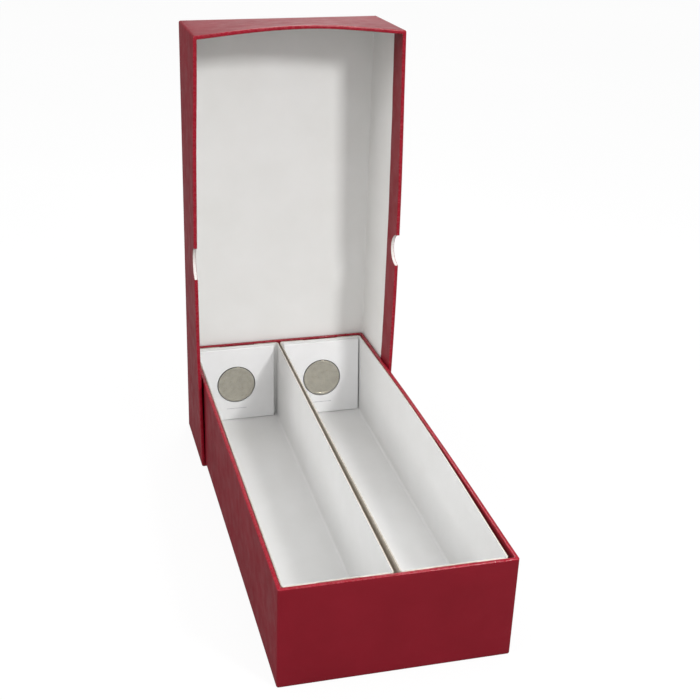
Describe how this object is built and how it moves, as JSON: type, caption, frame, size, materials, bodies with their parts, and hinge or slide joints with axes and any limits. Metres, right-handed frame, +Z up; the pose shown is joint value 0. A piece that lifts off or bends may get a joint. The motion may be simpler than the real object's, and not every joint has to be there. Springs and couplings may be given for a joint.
{
  "type": "coin flip storage box",
  "caption": "Long red storage box with a deep lift-off lid, fitted with open row trays for square card coin holders.",
  "frame": {"origin": "middle of the footprint, on the surface that the lid's end and the box's front edge stand on", "axes": "+Z up, +X to the right, +Y along the rows from the front of the box to its lid"},
  "size_m": [0.1252, 0.265, 0.2711],
  "materials": {
    "red_paper": "gloss",
    "box_board": "matte",
    "stay_tape": "matte",
    "white_paper": "matte",
    "row_board": "matte",
    "holder_card": "matte",
    "film": "gloss",
    "coin_metal": "satin"
  },
  "bodies": {
    "base": {"base_board": "box_board", "base_corner_stays": "stay_tape", "base_lining": "white_paper", "base_wrap": "red_paper"},
    "lid": {"lid_board": "box_board", "lid_corner_stays": "stay_tape", "lid_lining": "white_paper", "lid_wrap": "red_paper"},
    "left_row": {"left_row_tray": "row_board", "left_row_lining": "white_paper"},
    "left_holder": {"left_holder_card": "holder_card", "left_holder_front_film": "film", "left_holder_rear_film": "film", "left_coin": "coin_metal"},
    "right_row": {"right_row_tray": "row_board", "right_row_lining": "white_paper"},
    "right_holder": {"right_holder_card": "holder_card", "right_holder_front_film": "film", "right_holder_rear_film": "film", "right_coin": "coin_metal"}
  },
  "joints": [
    {"name": "lid_slide", "type": "slide", "parent": "base", "child": "lid", "axis": [0, 1, 0], "range_m": [0, 0.07]},
    {"name": "left_row_lift", "type": "slide", "parent": "base", "child": "left_row", "axis": [0, -0.0105, 0.9999], "range_m": [0, 0.06]},
    {"name": "left_holder_lift", "type": "slide", "parent": "left_row", "child": "left_holder", "axis": [0, -0.0105, 0.9999], "range_m": [0, 0.055]},
    {"name": "right_row_lift", "type": "slide", "parent": "base", "child": "right_row", "axis": [0, -0.0105, 0.9999], "range_m": [0, 0.06]},
    {"name": "right_holder_lift", "type": "slide", "parent": "right_row", "child": "right_holder", "axis": [0, -0.0105, 0.9999], "range_m": [0, 0.055]}
  ]
}
